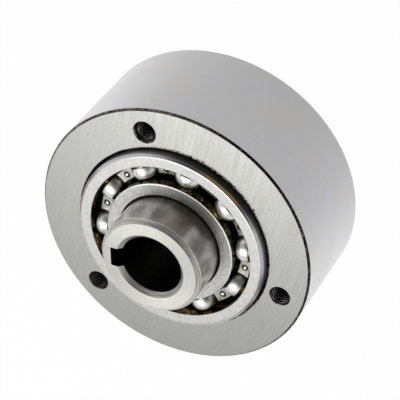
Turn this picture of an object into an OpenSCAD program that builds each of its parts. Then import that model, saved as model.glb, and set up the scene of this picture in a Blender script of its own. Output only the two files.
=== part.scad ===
// Bearing-supported sprag clutch: a drilled outer ring and a keyed hub, joined by two ball
// bearings and by a row of sprags that lets the hub turn in one direction only.
// The origin is the middle of the clutch, and +Z runs along the bore towards the front face.

/* [Outer ring] */
// Outside diameter of the ring
ring_d = 68; // [66:0.5:90]
// Width of the ring, face to face
ring_w = 28; // [27:0.5:40]
// Chamfer on the ring's outer edges
ring_chamfer = 0.5; // [0.2:0.1:1.5]
// Chamfer at the mouth of each bearing seat
seat_chamfer = 0.7; // [0.2:0.1:1]

/* [Tapped holes] */
// Pitch circle diameter of the tapped holes
bolt_pcd = 56; // [55:0.5:59]
// Number of tapped holes
bolt_count = 3; // [2:1:6]
// Core diameter of the thread
bolt_core_d = 4.2; // [2.5:0.1:5]
// Diameter of the countersinks at the mouths
bolt_mouth_d = 5.4; // [5.2:0.1:6.4]

/* [Hub] */
// Overall length of the hub
hub_len = 52; // [40:0.5:70]
// Diameter of the shaft bore
bore_d = 15; // [10:0.5:17]
// Chamfer on the hub's outer end edges
hub_chamfer = 1; // [0.3:0.1:1.2]
// Chamfer at the mouths of the bore
bore_chamfer = 1; // [0.3:0.1:1.2]
// Width of the keyway
key_w = 5; // [3:0.5:6]
// Height from the far wall of the bore to the bottom of the keyway
key_height = 17.3; // [16.4:0.1:18.3]
// Angle of the keyway from the X axis
key_angle = 166.8; // [0:0.1:360]

/* [Ball bearings] */
// Bore of the bearings, which is also the hub's outside diameter
bearing_bore = 25; // [24:0.5:25.5]
// Outside diameter of the bearings
bearing_od = 47; // [46.5:0.5:50]
// Width of the bearings
bearing_w = 8; // [7:0.5:9]
// How far the bearings stand out of the ring's faces
bearing_proud = 2.1; // [0.5:0.1:3]
// Diameter of the balls
ball_d = 5.556; // [5:0.05:5.8]
// Number of balls in each bearing
ball_count = 10; // [8:1:11]
// Gap between a ball and the bottom of its groove
ball_gap = 0.05; // [0.03:0.01:0.1]
// Groove radius as a share of the ball's diameter
groove_share = 0.52; // [0.51:0.005:0.54]
// Depth of the groove in the outer race
outer_groove_depth = 0.5; // [0.3:0.05:0.8]
// Depth of the groove in the inner race
inner_groove_depth = 0.7; // [0.4:0.05:1]
// Chamfer on the seat edges of the races
race_chamfer = 0.55; // [0.2:0.05:0.6]
// Chamfer on the edges of the races beside the balls
land_chamfer = 0.25; // [0.1:0.05:0.4]
// Angle of the first ball of the front bearing
front_ball_angle = 28.5; // [0:0.5:360]
// Angle of the first ball of the rear bearing
rear_ball_angle = 10.5; // [0:0.5:360]

/* [Ball cages] */
// Thickness of the pressed sheet
cage_sheet = 0.6; // [0.4:0.05:0.7]
// Width of the sheet, measured along the radius
cage_w = 2.6; // [2:0.1:3]
// Gap between a ball and its pocket
pocket_gap = 0.08; // [0.05:0.01:0.15]
// Diameter of the rivet shanks
rivet_d = 0.9; // [0.7:0.05:1.1]
// Diameter of the rivet heads
rivet_head_d = 1.4; // [1.2:0.05:1.6]
// Height of the rivet heads
rivet_head_h = 0.35; // [0.2:0.05:0.5]
// Gap between a rivet shank and its hole
rivet_gap = 0.05; // [0.02:0.01:0.1]

/* [Sprags] */
// Diameter of the sprags' track on the hub
track_d = 27.76; // [26.6:0.02:28.6]
// Radial space between the two tracks
sprag_space = 8.33; // [7.8:0.01:8.6]
// Number of sprags
sprag_count = 14; // [8:1:14]
// Length of a sprag along the axis
sprag_len = 11.5; // [8:0.5:12.5]
// Width of a sprag
sprag_w = 4.6; // [4:0.1:4.8]
// Sideways shift of each cam's centre from the sprag's middle
cam_shift = 0.35; // [0.25:0.01:0.5]
// Gap between a sprag's cams and the tracks
cam_gap = 0.05; // [0.03:0.01:0.08]
// Radius of the round notches in a sprag's sides
notch_r = 1.2; // [0.9:0.05:1.3]
// Depth of those notches
notch_depth = 0.7; // [0.4:0.05:0.8]
// Tilt that frees a sprag from the tracks
sprag_tilt = 5; // [2:0.5:6]

/* [Sprag cage] */
// Thickness of the two cage rings
retainer_t = 0.8; // [0.5:0.05:1]
// Gap between the cage and the bearings at each end
retainer_end_gap = 0.3; // [0.2:0.05:0.6]
// Gap between a sprag and the edges of its windows
window_gap = 0.15; // [0.1:0.01:0.25]
// Distance of each cage ring from the tracks
retainer_track_gap = 1.25; // [1:0.05:1.4]
// Thickness of the lips at the ends of the outer cage ring
lip_t = 0.5; // [0.3:0.05:0.8]
// Running gap between those lips and the outer track
lip_gap = 0.1; // [0.05:0.01:0.2]
// Thickness of the spring band
spring_t = 0.25; // [0.15:0.05:0.35]
// Length of the spring's fingers
finger_len = 0.9; // [0.7:0.05:0.95]
// Angle of the fingers from the band
finger_angle = 35; // [20:1:45]
// Width of the fingers along the axis
finger_w = 6; // [3:0.5:8]

/* [Hidden] */
$fn = 96;
// Overshoot that makes a cut pass cleanly through a face
over = 1;

ring_r = ring_d / 2;
bearing_in_r = bearing_bore / 2;
bearing_out_r = bearing_od / 2;
// Height of the bearings' inner faces and of their middles
seat_z = ring_w / 2 + bearing_proud - bearing_w;
bearing_z = seat_z + bearing_w / 2;

ball_r = ball_d / 2;
pitch_r = (bearing_in_r + bearing_out_r) / 2;
groove_r = ball_d * groove_share;
// The groove bottoms, then the lands beside them
outer_bottom_r = pitch_r + ball_r + ball_gap;
inner_bottom_r = pitch_r - ball_r - ball_gap;
outer_land_r = outer_bottom_r - outer_groove_depth;
inner_land_r = inner_bottom_r + inner_groove_depth;

pocket_r = ball_r + pocket_gap;
cage_in_r = pitch_r - cage_w / 2;
cage_out_r = pitch_r + cage_w / 2;
ball_step = 360 / ball_count;

track_in_r = track_d / 2;
track_out_r = track_in_r + sprag_space;
sprag_r = track_in_r + sprag_space / 2;
sprag_step = 360 / sprag_count;
// Distance of the cams' centres from the clutch axis
cam_centre_r = norm([cam_shift, sprag_r]);
cam_out_r = track_out_r - cam_gap - cam_centre_r;
cam_in_r = cam_centre_r - track_in_r - cam_gap;
notch_x = sprag_w / 2 - notch_depth + notch_r;

retainer_len = 2 * (seat_z - retainer_end_gap);
window_len = sprag_len + 2 * window_gap;
outer_retainer_r = track_out_r - retainer_track_gap;
inner_retainer_r = track_in_r + retainer_track_gap;

key_bottom_r = key_height - bore_d / 2;
bolt_step = 360 / bolt_count;
first_bolt_angle = 90;

STEEL = [0.74, 0.74, 0.73];
RACE_STEEL = [0.85, 0.85, 0.84];
BALL_STEEL = [0.92, 0.92, 0.92];
SHEET_STEEL = [0.7, 0.69, 0.66];
SPRAG_STEEL = [0.55, 0.56, 0.58];
SPRING_STEEL = [0.5, 0.47, 0.4];

function two_digits(n) = n < 10 ? str("0", n) : str(n);
function ball_name(side, i) = str(side, "_ball_", two_digits(i + 1));
function sprag_name(i) = str("sprag_", two_digits(i + 1));

SIDES = ["front", "rear"];
BEARING_PIECES = ["outer_race", "inner_race", "cage_outboard", "cage_inboard", "cage_rivets"];

// A ring turned from a rectangle, with a chamfer on each corner: inner edges, then outer edges
module turned_ring(in_r, out_r, half_w, in_cut, out_cut) {
    rotate_extrude()
        polygon([
            [in_r + in_cut, -half_w], [out_r - out_cut, -half_w],
            [out_r, out_cut - half_w], [out_r, half_w - out_cut],
            [out_r - out_cut, half_w], [in_r + in_cut, half_w],
            [in_r, half_w - in_cut], [in_r, in_cut - half_w]
        ]);
}

// A hole drilled right through the ring, tapped and countersunk from both faces
module tapped_hole() {
    face_z = ring_w / 2;
    core_r = bolt_core_d / 2;
    mouth_r = bolt_mouth_d / 2;
    core_z = face_z - (mouth_r - core_r);
    rotate_extrude()
        polygon([
            [0, -face_z - over], [mouth_r + over, -face_z - over], [core_r, -core_z],
            [core_r, core_z], [mouth_r + over, face_z + over], [0, face_z + over]
        ]);
}

// The ring steps in from the bearing seats to the sprags' track
module outer_ring() {
    face_z = ring_w / 2;
    color(STEEL)
        difference() {
            rotate_extrude()
                polygon([
                    [track_out_r, -seat_z], [bearing_out_r, -seat_z],
                    [bearing_out_r, seat_chamfer - face_z], [bearing_out_r + seat_chamfer, -face_z],
                    [ring_r - ring_chamfer, -face_z], [ring_r, ring_chamfer - face_z],
                    [ring_r, face_z - ring_chamfer], [ring_r - ring_chamfer, face_z],
                    [bearing_out_r + seat_chamfer, face_z], [bearing_out_r, face_z - seat_chamfer],
                    [bearing_out_r, seat_z], [track_out_r, seat_z]
                ]);
            for (i = [0:bolt_count - 1])
                rotate([0, 0, first_bolt_angle + i * bolt_step])
                    translate([bolt_pcd / 2, 0, 0])
                        tapped_hole();
        }
}

// The hub carries the inner races, and its thicker middle is the sprags' inner track
module hub() {
    end_z = hub_len / 2;
    bore_r = bore_d / 2;
    color(STEEL)
        difference() {
            rotate_extrude()
                polygon([
                    [bore_r + bore_chamfer, -end_z], [bearing_in_r - hub_chamfer, -end_z],
                    [bearing_in_r, hub_chamfer - end_z], [bearing_in_r, -seat_z],
                    [track_in_r, -seat_z], [track_in_r, seat_z],
                    [bearing_in_r, seat_z], [bearing_in_r, end_z - hub_chamfer],
                    [bearing_in_r - hub_chamfer, end_z], [bore_r + bore_chamfer, end_z],
                    [bore_r, end_z - bore_chamfer], [bore_r, bore_chamfer - end_z]
                ]);
            rotate([0, 0, key_angle])
                translate([0, -key_w / 2, -end_z - over])
                    cube([key_bottom_r, key_w, hub_len + 2 * over]);
        }
}

module ball_groove(bottom_r, inwards) {
    rotate_extrude()
        translate([bottom_r + inwards * groove_r, 0])
            circle(groove_r);
}

module outer_race() {
    color(RACE_STEEL)
        difference() {
            turned_ring(outer_land_r, bearing_out_r, bearing_w / 2, land_chamfer, race_chamfer);
            ball_groove(outer_bottom_r, -1);
        }
}

module inner_race() {
    color(RACE_STEEL)
        difference() {
            turned_ring(bearing_in_r, inner_land_r, bearing_w / 2, race_chamfer, land_chamfer);
            ball_groove(inner_bottom_r, 1);
        }
}

module at_balls() {
    for (i = [0:ball_count - 1])
        rotate([0, 0, i * ball_step])
            translate([pitch_r, 0, 0])
                children();
}

module at_rivets() {
    rotate([0, 0, ball_step / 2])
        at_balls()
            children();
}

// Half of a pressed ribbon cage: flat lands on z = 0 and a domed pocket over each ball
module cage_half() {
    color(SHEET_STEEL)
        difference() {
            intersection() {
                turned_ring(cage_in_r, cage_out_r, bearing_w / 2, 0, 0);
                union() {
                    cylinder(h = cage_sheet, r = cage_out_r + over);
                    difference() {
                        at_balls()
                            sphere(pocket_r + cage_sheet);
                        translate([0, 0, -bearing_w])
                            cylinder(h = bearing_w, r = bearing_out_r);
                    }
                }
            }
            at_balls()
                sphere(pocket_r);
            at_rivets()
                translate([0, 0, -over])
                    cylinder(h = cage_sheet + 2 * over, d = rivet_d + 2 * rivet_gap);
        }
}

module rivet_head() {
    head_r = rivet_head_d / 2;
    dome_r = (head_r * head_r + rivet_head_h * rivet_head_h) / (2 * rivet_head_h);
    intersection() {
        translate([0, 0, rivet_head_h - dome_r])
            sphere(dome_r);
        cylinder(h = rivet_head_h + over, r = rivet_head_d);
    }
}

module cage_rivets() {
    color(BALL_STEEL)
        at_rivets() {
            translate([0, 0, -cage_sheet])
                cylinder(h = 2 * cage_sheet, d = rivet_d);
            for (flip = [0, 1])
                mirror([0, 0, flip])
                    translate([0, 0, cage_sheet])
                        rivet_head();
        }
}

module ball(i) {
    color(BALL_STEEL)
        rotate([0, 0, i * ball_step])
            translate([pitch_r, 0, 0])
                sphere(ball_r);
}

// Puts a bearing piece, drawn about z = 0 with its outboard side up, in the front or rear bearing
module in_bearing(side) {
    rear = side == "rear";
    mirror([0, 0, rear ? 1 : 0])
        translate([0, 0, bearing_z])
            rotate([0, 0, rear ? rear_ball_angle : front_ball_angle])
                children();
}

module bearing_piece(piece) {
    if (piece == "outer_race") outer_race();
    if (piece == "inner_race") inner_race();
    if (piece == "cage_outboard") cage_half();
    if (piece == "cage_inboard") mirror([0, 0, 1]) cage_half();
    if (piece == "cage_rivets") cage_rivets();
}

// Puts a piece at a sprag's place, with +Y pointing outwards and the sprag's middle at the origin
module at_sprag(i) {
    rotate([0, 0, i * sprag_step])
        translate([0, sprag_r, 0])
            children();
}

// Two cam arcs with their centres on opposite sides, flat flanks and a round notch in each flank
module sprag_outline() {
    half_w = sprag_w / 2;
    difference() {
        for (end = [[1, cam_out_r], [-1, cam_in_r]])
            intersection() {
                translate([-cam_shift * end[0], 0])
                    circle(end[1]);
                translate([-half_w, end[0] > 0 ? 0 : -sprag_space])
                    square([sprag_w, sprag_space]);
            }
        for (flank = [-1, 1])
            translate([flank * notch_x, 0])
                circle(notch_r);
    }
}

module sprag(i) {
    color(SPRAG_STEEL)
        at_sprag(i)
            linear_extrude(sprag_len, center = true)
                sprag_outline();
}

// Windows for the sprags: reach is how far a flank swings past the window at that radius
module windows(reach_left, reach_right, low, high) {
    left = sprag_w / 2 + window_gap + reach_left;
    right = sprag_w / 2 + window_gap + reach_right;
    for (i = [0:sprag_count - 1])
        at_sprag(i)
            translate([-left, low, -window_len / 2])
                cube([left + right, high - low, window_len]);
}

// The outer cage ring stays in step with the sprags' middles, so its windows leave room to tilt
module sprag_outer_cage() {
    inner_wall_r = outer_retainer_r - retainer_t;
    swing = (outer_retainer_r - sprag_r) * sin(sprag_tilt);
    color(SHEET_STEEL)
        difference() {
            union() {
                turned_ring(inner_wall_r, outer_retainer_r, retainer_len / 2, 0, 0);
                for (flip = [0, 1])
                    mirror([0, 0, flip])
                        translate([0, 0, (retainer_len - lip_t) / 2])
                            turned_ring(inner_wall_r, track_out_r - lip_gap, lip_t / 2, 0, 0);
            }
            windows(swing, 0, 0, sprag_space);
        }
}

// The inner cage ring turns a little with the sprags' feet
module sprag_inner_cage() {
    color(SHEET_STEEL)
        difference() {
            turned_ring(inner_retainer_r, inner_retainer_r + retainer_t, retainer_len / 2, 0, 0);
            windows(0, 0, -sprag_space, 0);
        }
}

// A thin band at the sprags' waists, with a finger in each window that presses in the notch
module sprag_spring() {
    color(SPRING_STEEL) {
        difference() {
            turned_ring(sprag_r - spring_t / 2, sprag_r + spring_t / 2, retainer_len / 2, 0, 0);
            windows(0, 0, -sprag_space / 2, sprag_space / 2);
        }
        for (i = [0:sprag_count - 1])
            at_sprag(i)
                translate([-notch_x, 0, 0])
                    rotate([0, 0, finger_angle])
                        translate([0, -spring_t / 2, -finger_w / 2])
                            cube([finger_len, spring_t, finger_w]);
    }
}

outer_ring();
hub();
for (side = SIDES) {
    for (piece = BEARING_PIECES)
        in_bearing(side) bearing_piece(piece);
    for (i = [0:ball_count - 1])
        in_bearing(side) ball(i);
}
sprag_outer_cage();
sprag_inner_cage();
sprag_spring();
for (i = [0:sprag_count - 1])
    sprag(i);
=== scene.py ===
from math import acos, asin, atan2, ceil, cos, degrees, hypot, pi, radians, sin, sqrt, tan, tau
import bmesh
import bpy
from mathutils import Matrix, Vector, noise


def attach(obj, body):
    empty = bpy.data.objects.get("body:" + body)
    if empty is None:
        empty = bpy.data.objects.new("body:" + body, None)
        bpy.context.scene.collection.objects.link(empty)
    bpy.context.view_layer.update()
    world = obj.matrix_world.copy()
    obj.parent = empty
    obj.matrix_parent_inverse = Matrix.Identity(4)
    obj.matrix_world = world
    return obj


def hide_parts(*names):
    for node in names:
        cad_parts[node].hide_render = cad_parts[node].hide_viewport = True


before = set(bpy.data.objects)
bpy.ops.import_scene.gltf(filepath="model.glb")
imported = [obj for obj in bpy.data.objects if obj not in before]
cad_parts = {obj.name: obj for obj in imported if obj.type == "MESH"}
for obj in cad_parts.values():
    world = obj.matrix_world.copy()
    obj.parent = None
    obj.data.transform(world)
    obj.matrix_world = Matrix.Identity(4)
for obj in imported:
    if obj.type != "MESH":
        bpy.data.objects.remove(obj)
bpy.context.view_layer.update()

mm = 0.001         # shapes are drawn in millimetres and scaled when they become pieces
aroundCount = 192  # facets round a turned piece
cornerStep = 16    # most degrees that one facet of a rounded corner turns

# driving sizes in millimetres and degrees, which several pieces and finishes share
clutch = dict(
    ringOut=34, ringHalf=14, seatMouth=0.7,
    holes=3, firstHole=90, holeCircle=28, holeCore=2.1, holeRoot=2.47,
    hubOut=12.5, hubHalf=26, track=13.88, trackSpace=8.33,
    raceOut=23.5, raceMiddle=12.1, raceHalf=4,
    ballCircle=18, balls=10, front=28.5, rear=10.5,   # angles of the first balls
    sheet=0.6, rivetHead=0.7)
lipRadius = clutch["raceOut"] + clutch["seatMouth"]   # where a bearing seat opens into the ring's face
seatZ = clutch["raceMiddle"] - clutch["raceHalf"]     # height at which the bearings' inner faces start


# makes an object and puts it in the scene
def added(name, data):
    made = bpy.data.objects.new(name, data)
    bpy.context.scene.collection.objects.link(made)
    return made


# camera, fitted to the outlines of the ring, the bearing and the hub and to the three holes
view = dict(
    place=(0.2011, 0.2048, 0.3022),
    right=(0.87437, -0.21845, -0.43335),
    up=(-0.05313, 0.84451, -0.53291),
    lens=159.5, sensor=36, clip=(0.01, 20))


def setCamera():
    data = bpy.data.cameras.new("photoView")
    data.sensor_width = view["sensor"]
    data.lens = view["lens"]
    data.clip_start, data.clip_end = view["clip"]
    camera = added("photoView", data)
    across, upward = Vector(view["right"]).normalized(), Vector(view["up"])
    upward = (upward - across * upward.dot(across)).normalized()
    turn = Matrix((across, upward, across.cross(upward))).transposed()
    camera.matrix_world = Matrix.Translation(view["place"]) @ turn.to_4x4()
    bpy.context.scene.camera = camera
    bpy.context.scene.view_settings.view_transform = "Standard"


setCamera()
print("camera set")


# one socket of a shader, so that sums on masks read as plain arithmetic
class Wire:
    def __init__(self, finish, socket):
        self.finish, self.socket = finish, socket

    def __add__(self, other):
        return self.finish.sum("ADD", self, other)

    def __sub__(self, other):
        return self.finish.sum("SUBTRACT", self, other)

    def __rsub__(self, other):
        return self.finish.sum("SUBTRACT", other, self)

    def __mul__(self, other):
        return self.finish.sum("MULTIPLY", self, other)

    def __truediv__(self, other):
        return self.finish.sum("DIVIDE", self, other)


# the nodes of one material, or of the world
class Finish:
    def __init__(self, name, tree=None):
        if tree is None:
            self.material = bpy.data.materials.new(name)
            self.material.use_nodes = True
            tree = self.material.node_tree
        self.tree = tree
        tree.nodes.clear()

    def add(self, kind, settings=None, inputs=None, output=0):
        node = self.tree.nodes.new("ShaderNode" + kind)
        for key, value in (settings or {}).items():
            setattr(node, key, value)
        for key, value in (inputs or {}).items():
            socket = node.inputs[key]
            if isinstance(value, Wire):
                self.tree.links.new(value.socket, socket)
            elif socket.type == "RGBA":
                socket.default_value = (*value, 1)
            else:
                socket.default_value = value
        return Wire(self, node.outputs[output]) if node.outputs else None

    def sum(self, operation, *values):
        return self.add("Math", dict(operation=operation), dict(enumerate(values)))

    def vector(self, operation, values, output=0):
        return self.add("VectorMath", dict(operation=operation), values, output)

    def mix(self, factor, first, second):
        return self.add("Mix", dict(data_type="RGBA"), {0: factor, 6: first, 7: second}, 2)

    # place on the piece in millimetres, which turns with the piece
    def spot(self):
        place = self.add("TexCoord", output="Object")
        return self.vector("SCALE", {0: place, "Scale": 1 / mm})

    def split(self, vector):
        axes = self.add("SeparateXYZ", inputs={0: vector}).socket.node.outputs
        return [Wire(self, axis) for axis in axes]

    def join(self, x, y, z):
        return self.add("CombineXYZ", inputs={0: x, 1: y, 2: z})

    def length(self, x, y):
        return self.sum("SQRT", x * x + y * y)

    # distance from the clutch's axis, angle round it and height along it
    def polar(self):
        x, y, z = self.split(self.spot())
        return self.length(x, y), self.sum("ARCTAN2", y, x), z

    # distance from the nearest of some alike places on a circle, and the angle from it
    def nearest(self, reach, angle, count, circle):
        step = tau / count
        turn = self.sum("WRAP", angle, step / 2, -step / 2)
        away = self.sum("COSINE", turn) * reach - circle
        aside = self.sum("SINE", turn) * reach
        return self.length(away, aside), turn

    # mask of one side, given by the angle of its middle in degrees and by the cosines of the angles
    # from there at which it starts and is full
    def toward(self, angle, middle, low, high, out=(0, 1)):
        return self.fit(self.sum("COSINE", angle - radians(middle)), low, high, out)

    def noiseAt(self, vector, scale, detail, rough, warp):
        inputs = {"Vector": vector, "Scale": scale, "Detail": detail, "Roughness": rough,
                  "Distortion": warp}
        return self.add("TexNoise", inputs=inputs, output="Fac")

    # noise over the piece, finer with a larger scale; then come its detail, roughness and warp
    def cloud(self, scale, detail=3, rough=0.6, warp=0):
        return self.noiseAt(self.spot(), scale, detail, rough, warp)

    # noise stretched by a size along each of the first two directions; a plain number as the third
    # picks another pattern
    def streak(self, x, y, z, wide, high, detail=2, rough=0.5, warp=0):
        return self.noiseAt(self.join(x / wide, y / high, z), 1, detail, rough, warp)

    # goes between the two numbers in out while a value goes from low to high
    def fit(self, value, low, high, out=(0, 1), smooth=False):
        kind = "SMOOTHSTEP" if smooth else "LINEAR"
        return self.add("MapRange", dict(interpolation_type=kind),
                        {0: value, 1: low, 2: high, 3: out[0], 4: out[1]})

    # mask that starts and is full at two distances past an edge
    def past(self, value, edge, start, full):
        return self.fit(value, edge + start, edge + full)

    # sum of two values by their shares
    def blend(self, first, second, shares):
        return first * shares[0] + second * shares[1]

    # number that grows from its least value with a mask
    def grow(self, mask, least, more):
        return mask * more + least

    # relief of a depth in millimetres
    def bump(self, height, depth, strength):
        inputs = {"Height": height, "Distance": depth * mm, "Strength": strength}
        return self.add("Bump", inputs=inputs)

    def steel(self, colour, rough, normal=None, metal=1, coat=0):
        inputs = {"Base Color": colour, "Roughness": rough, "Metallic": metal, "Coat Weight": coat}
        if normal is not None:
            inputs["Normal"] = normal
        shade = self.add("BsdfPrincipled", inputs=inputs)
        self.add("OutputMaterial", inputs={"Surface": shade})
        return self.material


# the ring's faces: long arcs that the grinding wheel left about a far centre, a straw tint where the
# bearing seat breaks out, and black flecks there that are partly burrs and partly painted shade of the
# seat's gap, with pale nicks round them that are painted highlights on the burrs
grinding = dict(
    light=(0.605, 0.605, 0.582), dull=(0.462, 0.462, 0.443), stain=(0.46, 0.42, 0.355),
    straw=(0.56, 0.44, 0.27), nick=(0.8, 0.79, 0.74), fleck=(0.05, 0.042, 0.032),
    centre=(-165, 112), arcRadius=200, strokeNoise=(0.34, 12, 3, 0.6),
    bandNoise=(1.3, 50), speckNoise=(1.9, 2), shares=(0.58, 0.12, 0.3),
    mottleNoise=(0.11, 3, 0.55, 0.4), mottled=(0.35, 0.75, (0, 0.24)),
    stainNoise=(0.2, 4, 0.6, 0.8), stained=(0.58, 0.76, (0, 0.28)),
    calm=(5, -25, (0, 0.4)), contrast=(0.36, 0.64), rough=(0.35, 0.65, (0.34, 0.28)),
    mottleRough=0.05, bump=(0.0028, 0.35), fleckNoise=(0.8, 0.45, 3, 0.65),
    tear=1.1, tearFrom=(0, 0.1), lipMore=0.21, tornWay=(0.7, 0.71), torn=(16.5, 22.5),
    tornMore=0.04, burrHighlight=(0.62, 0.66), nicked=0.8, flecks=(0.68, 0.71),
    strawBand=(1.4, 0.3), strawSide=(-8, -18), strawMore=0.16, strawFrom=(0.62, 0.74),
    strawed=0.6)


def groundSteel(look=grinding):
    f = Finish("groundSteel")
    x, y, z = f.split(f.spot())
    away, aside = x - look["centre"][0], y - look["centre"][1]
    reach = f.length(away, aside)
    along = f.sum("ARCTAN2", aside, away) * look["arcRadius"]
    fine = f.streak(reach, along, z, *look["strokeNoise"])
    broad = f.streak(reach, along, z, *look["bandNoise"])
    speck = f.cloud(*look["speckNoise"])
    strokes, bands, specks = look["shares"]
    calm = f.fit(x, *look["calm"])   # one side is ground finer
    stroke = (fine * strokes + broad * bands + speck * specks) * (1 - calm) + calm * 0.5
    mottle = f.cloud(*look["mottleNoise"])
    stain = f.fit(f.cloud(*look["stainNoise"]), *look["stained"])
    shade = f.mix(f.fit(stroke, *look["contrast"]), look["dull"], look["light"])
    shade = f.mix(f.fit(mottle, *look["mottled"]), shade, look["dull"])
    shade = f.mix(stain, shade, look["stain"])

    flat = f.length(x, y)
    lip = f.fit(flat, lipRadius + look["tear"], lipRadius)
    around = f.sum("ARCTAN2", y, x) * lipRadius
    flecks = f.streak(around, flat, z, *look["fleckNoise"])
    straw = f.past(flat, lipRadius, *look["strawBand"]) * f.fit(x, *look["strawSide"])
    tinted = f.fit(flecks + straw * look["strawMore"], *look["strawFrom"])
    shade = f.mix(tinted * straw * look["strawed"], shade, look["straw"])
    torn = f.fit(f.blend(x, y, look["tornWay"]), *look["torn"])   # the side torn most
    # black flecks along the lip are partly burrs and partly painted shade of the gap; the pale nicks
    # round them are painted highlights on the burrs
    near = f.fit(lip, *look["tearFrom"]) * torn
    tearing = flecks + lip * look["lipMore"] + torn * look["tornMore"]
    shade = f.mix(f.fit(tearing, *look["burrHighlight"]) * near * look["nicked"], shade, look["nick"])
    shade = f.mix(f.fit(tearing, *look["flecks"]) * near, shade, look["fleck"])
    rough = f.fit(stroke, *look["rough"]) + mottle * look["mottleRough"]
    return f.steel(shade, rough, f.bump(stroke, *look["bump"]))


# the ring's outside: fine matt grey, a little cool, with faint lighter and warmer clouds
matting = dict(
    cool=(0.512, 0.514, 0.538), warm=(0.545, 0.535, 0.514), light=(0.585, 0.585, 0.605),
    cloudNoise=(9, 7, 3, 0.55, 0.6), warmed=(0.35, 0.68), lineNoise=(6, 0.22),
    speckNoise=(2.4, 2), shares=(0.4, 0.6), lit=(0.38, 0.66, (0, 0.55)),
    rough=(0.3, 0.7, (0.36, 0.43)), speckRough=0.05, bump=(0.003, 0.5))


def mattSteel(look=matting):
    f = Finish("mattSteel")
    angle, z = f.polar()[1:]
    around = angle * clutch["ringOut"]
    cloudy = f.streak(around, z, 0, *look["cloudNoise"])
    line = f.streak(around, z, 3, *look["lineNoise"])
    speck = f.cloud(*look["speckNoise"])
    shade = f.mix(f.fit(cloudy, *look["warmed"]), look["cool"], look["warm"])
    lit = f.fit(f.blend(line, speck, look["shares"]), *look["lit"])
    shade = f.mix(lit, shade, look["light"])
    rough = f.fit(cloudy, *look["rough"]) + speck * look["speckRough"]
    return f.steel(shade, rough, f.bump(line * 0.5 + speck * 0.5, *look["bump"]))


# turned edges that nobody finished: brown-grey, with black breaks, most of them on one side
edging = dict(
    grey=(0.2, 0.18, 0.155), brown=(0.085, 0.058, 0.038), black=(0.014, 0.012, 0.011),
    inward=0.3, stainNoise=(3.2, 0.5, 4, 0.65), stained=(0.4, 0.62),
    breakNoise=(0.9, 0.4, 2, 0.6), broken=(0.48, 0.58), blackSide=(-14, 0.3, 0.9, (0, 0.12)),
    rough=(0.3, 0.7, (0.3, 0.5)), bump=(0.02, 0.6))


def edgeSteel(look=edging):
    f = Finish("edgeSteel")
    reach, angle, z = f.polar()
    around, inward = angle * clutch["ringOut"], reach / look["inward"]
    stain = f.streak(around, z, inward, *look["stainNoise"])
    broken = f.streak(around, z, inward, *look["breakNoise"])
    shade = f.mix(f.fit(stain, *look["stained"]), look["grey"], look["brown"])
    side = f.toward(angle, *look["blackSide"])
    shade = f.mix(f.fit(broken + side, *look["broken"]), shade, look["black"])
    return f.steel(shade, f.fit(broken, *look["rough"]), f.bump(stain, *look["bump"]))


# the seat's mouth: near black, partly old oil and partly painted shade of the gap, painted blacker on
# one side as more painted shade, and paler where it has been knocked
mouthing = dict(
    black=(0.02, 0.018, 0.016), knock=(0.3, 0.28, 0.24), nick=(0.8, 0.77, 0.68),
    gapShade=(0.003, 0.003, 0.003), gapShadeSide=(145, 0.75, 0.92, (0, 0.9)), radius=24,
    knockNoise=(3.5, 0.22, 3, 0.6), knockDeep=0.22, knocked=(0.54, 0.68),
    nickNoise=(0.9, 0.3, 2, 0.6), nickDeep=0.25, nicked=(0.6, 0.64), nickDull=0.7,
    rough=(0.3, 0.7, (0.5, 0.32)), bump=(0.03, 0.7))


def mouthSteel(look=mouthing):
    f = Finish("mouthSteel")
    reach, angle, z = f.polar()
    around = angle * look["radius"]
    knock = f.streak(around, z, reach / look["knockDeep"], *look["knockNoise"])
    nick = f.streak(around, z, reach / look["nickDeep"], *look["nickNoise"])
    nicked = f.fit(nick, *look["nicked"])
    shade = f.mix(f.fit(knock, *look["knocked"]), look["black"], look["knock"])
    shade = f.mix(nicked, shade, look["nick"])
    # painted shade: the mouth is painted blacker still on one side
    shade = f.mix(f.toward(angle, *look["gapShadeSide"]), shade, look["gapShade"])
    rough = f.fit(knock, *look["rough"])
    return f.steel(shade, rough, f.bump(knock, *look["bump"]), 1 - nicked * look["nickDull"])


# tapped holes: crests painted bright near the mouth and dark deeper down as painted shade, a painted
# highlight on the side of each hole where the light falls, and black oil elsewhere
threading = dict(
    steel=(0.72, 0.7, 0.67), worn=(0.15, 0.14, 0.125), litWall=(0.66, 0.635, 0.59),
    oil=(0.011, 0.01, 0.009), oilySide=(210, 0.8, 0.95), grimeScale=1.6,
    crestSlack=(0.16, 0.02), crestHigh=(9, 13), crestGrime=(0.7, 0.45), crestOily=0.8,
    crestLitWall=(0.75, 0.45), mouthSlack=(0.02, 0.15), mouthGrime=(0.4, 0.62),
    mouthLitWall=0.3, mouthOily=0.15, litWallWay=(-0.707, -0.707), litWallFar=(1, 2.4),
    bareLitWall=0.8, wornOily=0.45, litSlack=(-0.04, 0.02), litHigh=(13.5, 13.7),
    litSide=(0, -5), litGrime=(0.36, 0.46), rough=(0.26, 0.2))


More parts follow.
